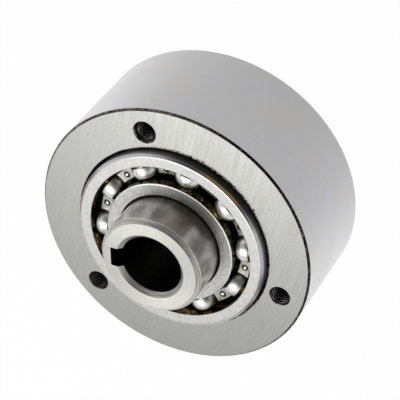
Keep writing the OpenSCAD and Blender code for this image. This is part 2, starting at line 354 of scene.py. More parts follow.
def threadSteel(look=threading):
    core, root, circle = clutch["holeCore"], clutch["holeRoot"], clutch["holeCircle"]
    f = Finish("threadSteel")
    x, y = f.split(f.spot())[:2]
    reach, angle, z = f.polar()
    depth, turn = f.nearest(reach, angle - radians(clutch["firstHole"]), clutch["holes"], circle)
    middle = angle - turn   # angle of the nearest hole
    asideX = x - f.sum("COSINE", middle) * circle
    asideY = y - f.sum("SINE", middle) * circle
    # painted highlight: each hole's wall is painted lighter on the side where the light falls
    litWall = f.fit(f.blend(asideX, asideY, look["litWallWay"]), *look["litWallFar"])
    oily = f.toward(angle, *look["oilySide"])   # one hole kept its oil
    high = f.sum("ABSOLUTE", z)
    grime = f.cloud(look["grimeScale"])

    under, over = look["crestSlack"]
    # painted shade: the crests darken deeper into the hole
    crest = f.fit(depth, root - under, core + over) * f.fit(high, *look["crestHigh"])
    crest = crest * f.fit(grime, *look["crestGrime"]) * (1 - oily * look["crestOily"])
    crest = crest * f.grow(litWall, *look["crestLitWall"])
    mouth = f.past(depth, root, *look["mouthSlack"]) * f.fit(grime, *look["mouthGrime"])
    mouth = mouth * (1 - litWall * look["mouthLitWall"]) + oily * litWall * look["mouthOily"]
    lit = f.past(depth, root, *look["litSlack"]) * f.fit(high, *look["litHigh"])
    lit = lit * f.fit(y, *look["litSide"]) * litWall * f.fit(grime, *look["litGrime"])
    bare = litWall * (look["bareLitWall"] - oily * look["wornOily"])
    worn = f.mix(bare, look["worn"], look["litWall"])
    shade = f.mix(crest, look["oil"], look["steel"])
    shade = f.mix(lit, f.mix(mouth, shade, worn), worn)
    return f.steel(shade, f.grow(grime, *look["rough"]))


# bearing rings: bright ground faces with a fine grain; the inner ring is duller, with painted shade on
# one side
racing = dict(
    bright=(0.715, 0.711, 0.695), grain=(0.575, 0.57, 0.553), contrast=(0.38, 0.59),
    innerBright=(0.65, 0.645, 0.625), innerGrain=(0.46, 0.455, 0.436), innerContrast=(0.4, 0.6),
    mark=(0.5, 0.48, 0.435), marked=(0.55, 0.85, (0, 0.3)), oil=(0.28, 0.275, 0.26),
    innerShadeSide=(42, 0.3, 0.9, (0, 0.32)), grainNoise=(1.9, 2, 0.65),
    markNoise=(0.35, 3, 0.5, 0.5), turning=(0.12, 0.5), shares=(0.8, 0.2),
    rough=(0.38, 0.12), relief=(0.6, 0.4), bump=(0.004, 0.5))


# mask of the inner bearing ring
def innerRing(f, reach):
    return f.fit(reach, clutch["ballCircle"], clutch["ballCircle"] - 1)


def raceSteel(look=racing):
    f = Finish("raceSteel")
    reach, angle, z = f.polar()
    grain = f.cloud(*look["grainNoise"])
    rings = f.streak(reach, angle, z / look["turning"][0], *look["turning"])
    mark = f.cloud(*look["markNoise"])
    ground = f.blend(grain, rings, look["shares"])
    outer = f.mix(f.fit(ground, *look["contrast"]), look["grain"], look["bright"])
    outer = f.mix(f.fit(mark, *look["marked"]), outer, look["mark"])
    inner = f.mix(f.fit(ground, *look["innerContrast"]), look["innerGrain"], look["innerBright"])
    # painted shade on one side of the inner ring
    inner = f.mix(f.toward(angle, *look["innerShadeSide"]), inner, look["oil"])
    shade = f.mix(innerRing(f, reach), outer, inner)
    relief = f.bump(f.blend(grain, rings, look["relief"]), *look["bump"])
    return f.steel(shade, f.grow(grain, *look["rough"]), relief)


# small turned edges of the bearing rings and the hub, which catch the light from all round
rimming = dict(
    outer=(0.62, 0.62, 0.61), inner=(0.82, 0.82, 0.81), grain=(0.575, 0.57, 0.553),
    grainScale=2, grained=(0.4, 0.7, (0, 0.35)), rough=(0.24, 0.1))


def rimSteel(look=rimming):
    f = Finish("rimSteel")
    grain = f.cloud(look["grainScale"])
    bright = f.mix(innerRing(f, f.polar()[0]), look["outer"], look["inner"])
    shade = f.mix(f.fit(grain, *look["grained"]), bright, look["grain"])
    return f.steel(shade, f.grow(grain, *look["rough"]))


# the bearing's round outside: polished, painted dark near its seat and on three sides as painted shade,
# with one golden streak
barrelOut = dict(
    steel=(0.5, 0.505, 0.51), brown=(0.26, 0.17, 0.065), oil=(0.2, 0.2, 0.195),
    film=(0.055, 0.054, 0.05), line=(0.7, 0.7, 0.69), gold=(0.36, 0.215, 0.05),
    shadedSide=(48, 0.78, 0.93), filmed=0.9, leftShadow=(146, 0.93, 0.98),
    lowShadow=(-34, 0.93, 0.98), seamShaded=0.75, goldSide=(42, 0.962, 0.988), gilded=0.9,
    goldFrom=(15.45, 15.65), goldTo=(16.1, 15.9), seatShadeHigh=(15.7, 14.1), seatShadeRagged=0.7,
    smearNoise=(7, 0.6, 3, 0.55), smeared=(0.5, 0.6), browned=(0.1, 0.6),
    goldSmear=(0.3, 0.5), lineNoise=(0.25, 0.16, 2, 0.6), lineFrom=(0.52, 0.68),
    lineShaded=0.5, lined=0.5, rough=(0.28, 0.16), metal=(0.84, 0.14),
    goldMetal=0.5, lineMetal=0.08)


def raceBarrel(look=barrelOut):
    f = Finish("raceBarrel")
    angle, z = f.polar()[1:]
    high = f.sum("ABSOLUTE", z)
    around = angle * clutch["raceOut"]
    smear = f.streak(around, z, 0, *look["smearNoise"])
    # painted shade: the barrel darkens toward its seat, where it goes down into the ring
    low = f.fit(high + (smear - 0.5) * look["seatShadeRagged"], *look["seatShadeHigh"])
    side = f.toward(angle, *look["shadedSide"])   # painted shade on this side
    # painted shadow on two more sides
    shadowSeams = f.toward(angle, *look["leftShadow"]) + f.toward(angle, *look["lowShadow"])
    golden = f.toward(angle, *look["goldSide"])
    shade = f.mix(side * look["filmed"], look["steel"], look["film"])
    shade = f.mix(shadowSeams * look["seamShaded"], shade, look["film"])
    browned = f.fit(smear, *look["smeared"]) * f.grow(golden, *look["browned"])
    shade = f.mix(browned, shade, look["brown"])
    shade = f.mix(low, shade, look["oil"])
    streak = f.fit(high, *look["goldFrom"]) * f.fit(high, *look["goldTo"])
    streak = streak * golden * f.fit(smear, *look["goldSmear"])
    shade = f.mix(streak * look["gilded"], shade, look["gold"])
    lines = f.streak(angle, z, 7, *look["lineNoise"])
    pale = f.fit(lines, *look["lineFrom"]) * (1 - low) * (1 - side * look["lineShaded"])
    shade = f.mix(pale * look["lined"], shade, look["line"])
    metal = f.grow(side, *look["metal"]) - streak * look["goldMetal"] - pale * look["lineMetal"]
    return f.steel(shade, f.grow(smear, *look["rough"]), metal=metal)


# ball grooves: mirror-bright steel, painted almost black as painted shade inside the bearing, under a
# film of amber oil, most of it in the outer ring
grooving = dict(
    steel=(0.075, 0.068, 0.05), olive=(0.22, 0.165, 0.05), oil=(0.016, 0.013, 0.007),
    amber=(0.52, 0.35, 0.05), filmNoise=(0.42, 3, 0.6, 0.6),
    oliveNoise=(0.3, 3, 0.6, 0.4), dropNoise=(0.95, 3, 0.65),
    filmed=(0.34, 0.56), olived=(0.5, 0.64, (0, 0.9)), dropped=(0.575, 0.65, (0, 0.9)),
    outer=(19, 20), outerMore=0.06, rough=(0.16, 0.2), coat=0.15)


def grooveSteel(look=grooving):
    f = Finish("grooveSteel")
    film = f.cloud(*look["filmNoise"])
    olive = f.cloud(*look["oliveNoise"])
    drops = f.cloud(*look["dropNoise"]) + f.fit(f.polar()[0], *look["outer"]) * look["outerMore"]
    # painted shade: the steel colour is almost black
    shade = f.mix(f.fit(film, *look["filmed"]), look["steel"], look["oil"])
    shade = f.mix(f.fit(olive, *look["olived"]), shade, look["olive"])
    shade = f.mix(f.fit(drops, *look["dropped"]), shade, look["amber"])
    return f.steel(shade, f.grow(film, *look["rough"]), coat=look["coat"])


# balls: polished, with a thin film of oil
polishing = dict(
    bright=(0.9, 0.9, 0.89), film=(0.55, 0.49, 0.36), filmScale=0.9,
    filmed=(0.5, 0.8, (0, 0.5)), rough=(0.4, 0.8, (0.05, 0.13)))


def ballSteel(look=polishing):
    f = Finish("ballSteel")
    film = f.cloud(look["filmScale"])
    shade = f.mix(f.fit(film, *look["filmed"]), look["bright"], look["film"])
    return f.steel(shade, f.fit(film, *look["rough"]))


# pressed sheet of the ball cages: bright domes, flats and folds painted darker as painted shade,
# patches of oil, and a dark ring round each rivet that is partly oil and partly painted shade
caging = dict(
    bright=(0.93, 0.925, 0.91), worn=(0.66, 0.645, 0.61), flat=(0.52, 0.51, 0.48),
    oil=(0.2, 0.165, 0.09), seamShade=(0.05, 0.045, 0.035), wornScale=0.8, wornFrom=(0.4, 0.7),
    grainNoise=(5, 2), oilNoise=(0.4, 3, 0.6, 0.5), oilFrom=(0.55, 0.72), oilFlat=0.75,
    oilDome=0.4, dome=(12.85, 13.6), foldFrom=(12.75, 12.9), foldTo=(14, 13.15), foldShaded=0.75,
    seamWide=(0.32, 0.08), seamRagged=0.5, seamShaded=0.9, rough=(0.31, 0.12),
    bump=(0.006, 0.5))


def cageSteel(look=caging):
    f = Finish("cageSteel")
    reach, angle, z = f.polar()
    high = f.sum("ABSOLUTE", z)
    worn = f.cloud(look["wornScale"])
    grain = f.cloud(*look["grainNoise"])
    oily = f.fit(f.cloud(*look["oilNoise"]), *look["oilFrom"])
    balls = clutch["balls"]
    firstRivet = clutch["front"] - 180 / balls   # the rivets are midway between the balls
    behind = f.sum("LESS_THAN", z, 0) * radians(clutch["rear"] - clutch["front"])
    fromRivet = f.nearest(reach, angle - radians(firstRivet) - behind, balls, clutch["ballCircle"])[0]
    shade = f.mix(f.fit(worn, *look["wornFrom"]), look["bright"], look["worn"])
    # painted shade: the flats are painted darker than the domes, and the folds darker still
    dome = f.fit(high, *look["dome"])
    shade = f.mix(dome, look["flat"], shade)
    fold = f.fit(high, *look["foldFrom"]) * f.fit(high, *look["foldTo"])
    shade = f.mix(fold * look["foldShaded"], shade, look["seamShade"])
    shade = f.mix(oily * (look["oilFlat"] - dome * look["oilDome"]), shade, look["oil"])
    # dark ring round each rivet head: partly oil, partly painted shade
    ragged = fromRivet + (worn - 0.5) * look["seamRagged"]
    seamShade = f.past(ragged, clutch["rivetHead"], *look["seamWide"])
    shade = f.mix(seamShade * look["seamShaded"], shade, look["seamShade"])
    relief = f.bump(grain * 0.5 + worn * 0.5, *look["bump"])
    return f.steel(shade, f.grow(grain, *look["rough"]), relief)


# plain steel that varies between two colours with its grain
def grainedSteel(name, look):
    f = Finish(name)
    grain = f.cloud(*look["grainNoise"])
    shade = f.mix(f.fit(grain, *look["contrast"]), look["pale"], look["dark"])
    return f.steel(shade, f.grow(grain, *look["rough"]))


# cut edges of the sheet, darker than its rolled faces
cutting = dict(
    pale=(0.26, 0.24, 0.2), dark=(0.1, 0.09, 0.07), contrast=(0.35, 0.65),
    grainNoise=(3, 3, 0.6), rough=(0.35, 0.2))

# rivet heads, struck smooth
riveting = dict(
    pale=(0.9, 0.895, 0.88), dark=(0.68, 0.66, 0.61), contrast=(0.4, 0.7),
    grainNoise=(3.5, 2, 0.5), rough=(0.16, 0.1))

# hub: ground barrel with light and dark bands along it, brownish clouds, and a dark band of painted
# shade beside the bearing, reaching higher on one side
barrelling = dict(
    bright=(0.92, 0.92, 0.905), dark=(0.45, 0.445, 0.43), contrast=(0.38, 0.6),
    brown=(0.4, 0.31, 0.21), rustAt=52, rusted=(0.985, 1.012, (0, 0.6)), rustRagged=0.03,
    oily=(0.1, 0.092, 0.066), wet=(19.2, 16.3), rootShadeRise=1.6, rootShadeRagged=2.4, wetted=0.85,
    side=45, sided=(0.6, 0.95), stripes=14, striped=0.05, bandNoise=(2.2, 20),
    lineNoise=(5, 0.16, 2, 0.6), lined=(0.35, 0.7, (0, 0.15)),
    blotchNoise=(4, 5.5, 3), rough=(0.32, 0.12), bump=(0.003, 0.4))


def barrelSteel(look=barrelling):
    f = Finish("barrelSteel")
    angle, z = f.polar()[1:]
    around = angle * clutch["hubOut"]
    high = f.sum("ABSOLUTE", z)
    fromSide = angle - radians(look["side"])
    side = f.fit(f.sum("COSINE", fromSide), *look["sided"])   # this side gets stripes and a higher band of painted shade
    stripe = f.sum("COSINE", fromSide * look["stripes"]) * side
    bands = f.streak(around, z, 0, *look["bandNoise"])
    lines = f.streak(around, z, 5, *look["lineNoise"])
    blotch = f.streak(around, z, 9, *look["blotchNoise"])
    worn = bands * 0.5 + blotch * 0.5 - stripe * look["striped"]
    shade = f.mix(f.fit(worn, *look["contrast"]), look["dark"], look["bright"])
    nearRust = f.sum("COSINE", angle - radians(look["rustAt"])) + blotch * look["rustRagged"]
    shade = f.mix(f.fit(nearRust, *look["rusted"]), shade, look["brown"])
    shade = f.mix(f.fit(lines, *look["lined"]), shade, look["bright"])
    # painted shade: the barrel darkens toward the bearing, further up on one side
    fromRootShade = high - side * look["rootShadeRise"] + (blotch - 0.5) * look["rootShadeRagged"]
    shade = f.mix(f.fit(fromRootShade, *look["wet"], smooth=True) * look["wetted"], shade, look["oily"])
    return f.steel(shade, f.grow(blotch, *look["rough"]), f.bump(lines, *look["bump"]))


# hub ends: faced on the lathe, bright with faint rings, and a painted sheen of two brighter fans across
# the axis
facing = dict(
    dull=(0.55, 0.545, 0.51), bright=(0.875, 0.861, 0.812), grain=(0.4, 0.395, 0.38),
    sheenAt=97, sheen=(0.6, 0.4), turning=(0.13, 2 / 3), grainNoise=(1.9, 2),
    shares=(0.35, 0.65), grained=(0.62, 0.38, (0, 0.22)), rough=(0.3, 0.1),
    bump=(0.004, 0.5))


def facedSteel(look=facing):
    f = Finish("facedSteel")
    reach, angle = f.polar()[:2]
    rings = f.streak(reach, angle, 0, *look["turning"])
    grain = f.cloud(*look["grainNoise"])
    # painted sheen: two brighter fans, fixed on the face
    fromSheen = angle - radians(look["sheenAt"])
    both, one = look["sheen"]
    sheen = f.sum("COSINE", fromSheen * 2) * both - f.sum("COSINE", fromSheen) * one
    shade = f.mix(f.fit(sheen, -1, 1), look["dull"], look["bright"])
    marks = f.fit(f.blend(rings, grain, look["shares"]), *look["grained"])
    shade = f.mix(marks, shade, look["grain"])
    return f.steel(shade, f.grow(grain, *look["rough"]), f.bump(rings, *look["bump"]))


# hub chamfers, turned coarser than its ends
bevelling = dict(
    dark=(0.31, 0.308, 0.286), pale=(0.55, 0.547, 0.512), warm=(0.36, 0.33, 0.27),
    turning=(0.2, 5 / 6), contrast=(0.4, 0.6), warmNoise=(0.25, 2, 0.5),
    warmed=(0.52, 0.7, (0, 0.2)), rough=(0.42, 0.1), bump=(0.005, 0.5))


def bevelSteel(look=bevelling):
    f = Finish("bevelSteel")
    reach, angle = f.polar()[:2]
    rings = f.streak(reach, angle, 0, *look["turning"])
    warm = f.cloud(*look["warmNoise"])
    shade = f.mix(f.fit(rings, *look["contrast"]), look["dark"], look["pale"])
    shade = f.mix(f.fit(warm, *look["warmed"]), shade, look["warm"])
    return f.steel(shade, f.grow(rings, *look["rough"]), f.bump(rings, *look["bump"]))


# bore and keyway, painted almost black: partly oil, partly painted shade inside the bore
boring = dict(
    pale=(0.055, 0.052, 0.046), dark=(0.02, 0.018, 0.016), turning=(0.5, 0.2),
    grimeScale=0.3, grimeFrom=(0.35, 0.7), rough=(0.34, 0.2), bump=(0.005, 0.5))


def boreSteel(look=boring):
    f = Finish("boreSteel")
    angle, z = f.polar()[1:]
    rings = f.streak(angle, z, 0, *look["turning"])
    grime = f.cloud(look["grimeScale"])
    shade = f.mix(f.fit(grime, *look["grimeFrom"]), look["pale"], look["dark"])
    return f.steel(shade, f.grow(grime, *look["rough"]), f.bump(rings, *look["bump"]))


# closed-in pieces, all under old oil: a colour, a darker one for the grain and a roughness
oiled = dict(
    sprag=((0.56, 0.57, 0.59), (0.36, 0.36, 0.37), 0.22),
    retainer=((0.64, 0.63, 0.6), (0.44, 0.43, 0.4), 0.3),
    spring=((0.5, 0.47, 0.4), (0.34, 0.31, 0.25), 0.28))
oiling = dict(
    oil=(0.3, 0.23, 0.1), grainScale=2.5, grained=(0.35, 0.65, (0, 0.5)),
    oilScale=0.5, wetted=(0.55, 0.75, (0, 0.4)), grainRough=0.15, bump=(0.006, 0.4))


def oiledSteel(kind, look=oiling):
    colour, dark, rough = oiled[kind]
    f = Finish(kind + "Steel")
    grain = f.cloud(look["grainScale"])
    wet = f.cloud(look["oilScale"])
    shade = f.mix(f.fit(grain, *look["grained"]), colour, dark)
    shade = f.mix(f.fit(wet, *look["wetted"]), shade, look["oil"])
    return f.steel(shade, f.grow(grain, rough, look["grainRough"]), f.bump(grain, *look["bump"]))


finishes = dict(
    ground=groundSteel(), matt=mattSteel(), edge=edgeSteel(), mouth=mouthSteel(),
    thread=threadSteel(), race=raceSteel(), rim=rimSteel(), barrelOut=raceBarrel(),
    groove=grooveSteel(), ball=ballSteel(), cage=cageSteel(),
    cut=grainedSteel("cutSteel", cutting), rivet=grainedSteel("rivetSteel", riveting),
    hub=barrelSteel(), faced=facedSteel(), bevel=bevelSteel(), bore=boreSteel())
finishes.update((kind, oiledSteel(kind)) for kind in oiled)
print("finishes mixed:", len(finishes))


# point at a distance from the axis, at an angle in radians round it and at a height
def polarPoint(reach, angle, z):
    return Vector((reach * cos(angle), reach * sin(angle), z))


# an outline is a closed list of (radius, height, rounding, finish), where the finish is that of the
# stretch after the point; each corner with a rounding becomes a small arc
def softened(outline):
    points, tags = [], []
    for i, (r, z, rounding, tag) in enumerate(outline):
        here, before = Vector((r, z)), Vector(outline[i - 1][:2])
        after = Vector(outline[(i + 1) % len(outline)][:2])
        if not rounding:
            points.append(here)
            tags.append(tag)
            continue
        back, on = (before - here).normalized(), (after - here).normalized()
        half = back.angle(on) / 2
        start = here + back * (rounding / tan(half))
        centre = here + (back + on).normalized() * (rounding / sin(half))
        arm = start - centre
        turn = pi - 2 * half
        if back.x * on.y - back.y * on.x > 0:
            turn = -turn
        steps = max(2, ceil(abs(turn) / radians(cornerStep)))
        for step in range(steps + 1):
            a = turn * step / steps
            points.append(centre + Vector((arm.x * cos(a) - arm.y * sin(a),
                                           arm.x * sin(a) + arm.y * cos(a))))
            tags.append(outline[i - 1][3] if step < steps // 2 else tag)
    return points, tags


def arc(r, z, radius, start, end, steps, tag):
    sweep = [radians(start + (end - start) * step / steps) for step in range(steps + 1)]
    return [(r + radius * cos(a), z + radius * sin(a), 0, tag) for a in sweep]


# closes an upper half of an outline with its mirror image, whose stretches have finishes of their own
def mirrored(upper, tags):
    return upper + [(r, -z, rounding, tag) for (r, z, rounding, _), tag in zip(reversed(upper), tags)]


# joins each row of points to the next one; each row is a closed ring
def quads(bm, rows, tags=None, wrap=False):
    following = rows[1:] + rows[:1] if wrap else rows[1:]
    for row, (near, far) in enumerate(zip(rows, following)):
        for i in range(len(near)):
            j = (i + 1) % len(near)
            face = bm.faces.new((near[i], near[j], far[j], far[i]))
            face.material_index = tags[row] if tags else 0


def turned(outline, materials):
    bm = bmesh.new()
    points, tags = softened(outline)
    turns = [tau * i / aroundCount for i in range(aroundCount)]
    rows = [[bm.verts.new(polarPoint(p.x, a, p.y)) for a in turns] for p in points]
    quads(bm, rows, [materials.index(tag) for tag in tags], True)
    return bm


def meshOf(bm, name, materials):
    bmesh.ops.recalc_face_normals(bm, faces=bm.faces)
    mesh = bpy.data.meshes.new(name)
    bm.to_mesh(mesh)
    bm.free()
    for material in materials:
        mesh.materials.append(finishes[material])
    return mesh


evenNormals = ("WEIGHTED_NORMAL", dict(mode="FACE_AREA", weight=100, keep_sharp=True))


# makes a piece's modifiers real
def applied(made, modifiers):
    for kind, settings in modifiers:
        modifier = made.modifiers.new(kind, kind)
        for key, value in settings.items():
            setattr(modifier, key, value)
    graph = bpy.context.evaluated_depsgraph_get()
    made.data = bpy.data.meshes.new_from_object(made.evaluated_get(graph))
    made.modifiers.clear()


# makes a named piece out of a mesh in millimetres
def piece(name, mesh, body, nodes, modifiers=(), sharp=35, place=None):
    made = added(name, mesh)
    if modifiers:
        applied(made, modifiers)
    made.data.shade_smooth()
    made.data.set_sharp_from_angle(angle=radians(sharp))
    applied(made, [evenNormals])
    made.data.transform(Matrix.Scale(mm, 4))
    if place is not None:
        made.location = place * mm
    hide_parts(*nodes)
    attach(made, body)


def carve(tool):
    return ("BOOLEAN", dict(operation="DIFFERENCE", solver="EXACT", material_mode="INDEX", object=tool))


def soften(width, fromAngle, **settings):
    return ("BEVEL", dict(width=width, segments=2, limit_method="ANGLE", angle_limit=radians(fromAngle),
                          **settings))


welded = ("WELD", dict(merge_threshold=0.004))   # joins the slivers that a cut leaves


# tapped holes, drilled right through, with real threads cut from both faces; each mouth is the radius
# of a countersink
thread = dict(
    mouths=(2.84, 2.6, 2.58), pitch=0.8, threaded=9.6, fade=0.8, rootFlat=1.15,
    lip=0.03, lipDepth=0.1, over=0.5, nearFace=0.04, coneRows=(-0.3, -0.5), around=40, perTurn=6)


# radius of a hole's wall at a height and at a share of a turn: the thread, or the countersink round it
def holeWall(z, turn, mouth):
    size, core, root = thread, clutch["holeCore"], clutch["holeRoot"]
    h = abs(z) - clutch["ringHalf"]
    wave = abs(((z / size["pitch"] + turn) % 1) * 2 - 1)
    fade = min(1, max(0, (h + size["threaded"]) / size["fade"]))
    screw = core + (root - core) * min(1, wave * size["rootFlat"]) * fade
    cone = mouth + h + max(0, h / size["lipDepth"] + 1) * size["lip"]
    return max(screw, cone)


def threadCutter(materials):
    size = thread
    heights = [size["over"], size["nearFace"], -size["nearFace"], -size["lipDepth"], *size["coneRows"]]
    while heights[-1] > -size["threaded"]:
        heights.append(heights[-1] - size["pitch"] / size["perTurn"])
    heights = [clutch["ringHalf"] + h for h in heights]
    heights += [-h for h in reversed(heights)]
    turns = [i / size["around"] for i in range(size["around"])]
    metal = materials.index("thread")
    bm = bmesh.new()
    for i, mouth in enumerate(size["mouths"]):
        place = radians(clutch["firstHole"] + i * 360 / clutch["holes"])
        middle = polarPoint(clutch["holeCircle"], place, 0)
        rows = []
        for z in heights:
            wall = [polarPoint(holeWall(z, turn, mouth), tau * turn, z) for turn in turns]
            rows.append([bm.verts.new(middle + point) for point in wall])
        quads(bm, rows, [metal] * len(rows))
        for end in (rows[0], rows[-1]):
            bm.faces.new(end).material_index = metal
    return added("cutter", meshOf(bm, "threadCutter", materials))


# outer ring: ground faces, matt outside, a raw turned edge and a rough mouth round each bearing seat
ring = dict(
    edge=0.5, cornerRound=0.07, seatRound=0.1, burr=0.13, burrPitch=0.8,
    faceSlack=0.05, lipSlack=0.12)


# makes the edge where a seat breaks out of the face slightly ragged
def roughen(bm):
    size = ring
    for vert in bm.verts:
        flat = hypot(vert.co.x, vert.co.y)
        onFace = abs(abs(vert.co.z) - clutch["ringHalf"]) < size["faceSlack"]
        if onFace and abs(flat - lipRadius) < size["lipSlack"]:
            spot = vert.co * size["burrPitch"]
            push = noise.noise(spot) + 0.5 * noise.noise(spot * 3)
            grow = (flat + size["burr"] * push) / flat
            vert.co.x *= grow
            vert.co.y *= grow


def makeRing():
    size, out, half = ring, clutch["ringOut"], clutch["ringHalf"]
    seat, track = clutch["raceOut"], clutch["track"] + clutch["trackSpace"]
    materials = ["ground", "matt", "edge", "mouth", "thread", "groove"]
    upper = [(track, seatZ, 0, "mouth"), (seat, seatZ, 0, "mouth"),
             (seat, half - clutch["seatMouth"], size["seatRound"], "mouth"),
             (lipRadius, half, size["cornerRound"], "ground"),
             (out - size["edge"], half, size["cornerRound"], "edge"),
             (out, half - size["edge"], size["cornerRound"], "matt")]
    bm = turned(mirrored(upper, ["edge", "ground", "mouth", "mouth", "mouth", "groove"]), materials)
    roughen(bm)
    tool = threadCutter(materials)
    piece("outerRing", meshOf(bm, "outerRing", materials), "outer_ring", ["outer_ring"],
          [carve(tool), welded], sharp=30)
    bpy.data.objects.remove(tool)


makeRing()
print("outer ring cut and tapped")


# hub with its bore and keyway; the key's height is measured from the far wall of the bore
hub = dict(
    edge=1, bore=7.5, boreEdge=1, cornerRound=0.05, line=0.08, soft=0.09, softFrom=50,
    keyWide=5, keyHeight=17.3, keyAngle=166.8, keyCorner=0.25, keyFrom=2, keyOver=1)


def keyCutter(materials):
    size = hub
    wide, corner, reach = size["keyWide"] / 2, size["keyCorner"], size["keyHeight"] - size["bore"]
    section = [(size["keyFrom"], -wide), (reach - corner, -wide)]
    section += [(reach - corner + corner * sin(a), -wide + corner - corner * cos(a))
                for a in (radians(30), radians(60), radians(90))]
    section += [(x, -y) for x, y in reversed(section)]
    a = radians(size["keyAngle"])
    past = clutch["hubHalf"] + size["keyOver"]
    bm = bmesh.new()
    ends = [[bm.verts.new((x * cos(a) - y * sin(a), x * sin(a) + y * cos(a), z))
             for x, y in section] for z in (-past, past)]
    quads(bm, ends)
    for end in ends:
        bm.faces.new(end)
    for face in bm.faces:
        face.material_index = materials.index("bore")
    return added("cutter", meshOf(bm, "keyCutter", materials))


def makeHub():
    size, out, half = hub, clutch["hubOut"], clutch["hubHalf"]
    edge, line, bore = size["edge"], size["line"], size["bore"]
    materials = ["hub", "faced", "bevel", "bore", "groove", "rim"]
    upper = [(clutch["track"], seatZ, 0, "hub"), (out, seatZ, 0, "hub"),
             (out, half - edge - line, 0, "rim"), (out - line / 2, half - edge + line / 2, 0, "bevel"),
             (out - edge, half, size["cornerRound"], "faced"),
             (bore + size["boreEdge"], half, size["cornerRound"], "bevel"),
             (bore, half - size["boreEdge"], size["cornerRound"], "bore")]
    outline = mirrored(upper, ["bevel", "faced", "bevel", "rim", "hub", "hub", "groove"])
    mesh = meshOf(turned(outline, materials), "hub", materials)
    tool = keyCutter(materials)
    piece("keyedHub", mesh, "hub", ["hub"],
          [carve(tool), welded, soften(size["soft"], size["softFrom"], miter_outer="MITER_ARC")])
    bpy.data.objects.remove(tool)


makeHub()
print("hub turned and keyed")


# ball bearings; the rear one is the front one's mirror image, turned half a step
bearing = dict(
    ball=2.778, gap=0.05, groove=2.889, outerDepth=0.5, innerDepth=0.7, grooveSteps=20,
    corner=0.8, cornerSteps=8, rimFrom=71, rimSteps=4, edge=0.34, landEdge=0.16, boreEdge=0.45,
    crownWide=0.2, crownDrop=0.07, crownSide=0.1, crownRound=0.05, slack=0.02, ballCuts=11)


# section of the outer race: its outside from the seat up, its face, land and groove
def outerSection():
    size, h, out, groove = bearing, clutch["raceHalf"], clutch["raceOut"], bearing["groove"]
    corner, rim, landEdge = size["corner"], size["rimFrom"], size["landEdge"]
    bottom = clutch["ballCircle"] + size["ball"] + size["gap"]
    land = bottom - size["outerDepth"]
    lift = degrees(acos(1 - size["outerDepth"] / groove))
    line = [(out, -h, size["edge"], "barrelOut")]
    line += arc(out - corner, h - corner, corner, 0, rim, size["cornerSteps"], "barrelOut")[:-1]
    line += arc(out - corner, h - corner, corner, rim, 90, size["rimSteps"], "rim")[:-1]
    line += [(out - corner, h, 0, "race"), (land, h, landEdge, "race"),
             (land, h - landEdge - size["slack"], 0, "groove")]
    line += arc(bottom - groove, 0, groove, lift, -lift, size["grooveSteps"], "groove")
    return line + [(land, -h, landEdge, "race")]


# section of the inner race: its bore, inner face, land and groove, and a crown on its outer edge
def innerSection():
    size, h, bore, groove = bearing, clutch["raceHalf"], clutch["hubOut"], bearing["groove"]
    boreEdge, landEdge = size["boreEdge"], size["landEdge"]
    wide, drop, lap, soft = size["crownWide"], size["crownDrop"], size["crownSide"], size["crownRound"]
    bottom = clutch["ballCircle"] - size["ball"] - size["gap"]
    land = bottom + size["innerDepth"]
    lift = degrees(acos(1 - size["innerDepth"] / groove))
    line = [(bore, h, boreEdge, "bore"), (bore, -h, boreEdge, "race"), (land, -h, landEdge, "race")]
    line += arc(bottom + groove, 0, groove, 180 + lift, 180 - lift, size["grooveSteps"], "groove")
    line += [(land, h - drop - lap, soft, "rim"), (land - lap, h - drop, soft, "rim")]
    return line + [(land - lap - wide, h, 0, "race"), (bore + boreEdge + size["slack"], h, 0, "bore")]


def makeRaces(name, side):
    materials = ["race", "rim", "barrelOut", "groove", "bore"]
    sections = (("Outer", "outer_ring", outerSection()), ("Inner", "hub", innerSection()))
    for part, body, section in sections:
        title = name + part + "Race"
        outline = [(r, side * (z + clutch["raceMiddle"]), *rest) for r, z, *rest in section]
        piece(title, meshOf(turned(outline, materials), title, materials), body,
              [f"{name}_{part.lower()}_race"])


def ballMesh():
    bm = bmesh.new()
    bmesh.ops.create_cube(bm, size=2)
    bmesh.ops.subdivide_edges(bm, edges=bm.edges, cuts=bearing["ballCuts"], use_grid_fill=True)
    for vert in bm.verts:
        x, y, z = (tan(c * pi / 4) for c in vert.co)
        vert.co = Vector((x, y, z)).normalized() * bearing["ball"]
    return bm


# angle of a ball, or of the rivet half a step after it
def ballAngle(name, i):
    return radians(clutch[name] + i * 360 / clutch["balls"])


def makeBalls(name, side):
    for i in range(clutch["balls"]):
        node = f"{name}_ball_{i + 1:02d}"
        piece(f"{name}Ball{i + 1:02d}", meshOf(ballMesh(), node, ["ball"]), node, [node],
              place=polarPoint(clutch["ballCircle"], ballAngle(name, i), side * clutch["raceMiddle"]))


# one pressed half of a ball cage: a ribbon that is flat between the balls and domed over each of them
cage = dict(
    half=1.3, gap=0.08, fold=0.9, edge=0.07, edgeFrom=55, thinner=0.01,
    rows=10, dome=12, bend=4, flat=3)


# the ribbon's middle line over half of a pocket, as distances along the ball circle and above it
def pocketLine(across):
    size, low = cage, clutch["sheet"] / 2
    fold = size["fold"]
    dome = sqrt((bearing["ball"] + size["gap"] + low) ** 2 - across ** 2)
    foot = sqrt((dome + fold) ** 2 - (low + fold) ** 2)
    tilt = atan2(foot, low + fold)
    end = clutch["ballCircle"] * pi / clutch["balls"]
    line = [(dome * sin(tilt * i / size["dome"]), dome * cos(tilt * i / size["dome"]))
            for i in range(size["dome"] + 1)]
    for i in range(1, size["bend"] + 1):
        a = tilt * (1 - i / size["bend"])
        line.append((foot - fold * sin(a), low + fold - fold * cos(a)))
    line += [(foot + (end - foot) * i / size["flat"], low) for i in range(1, size["flat"])]
    return line + [(end, low)]


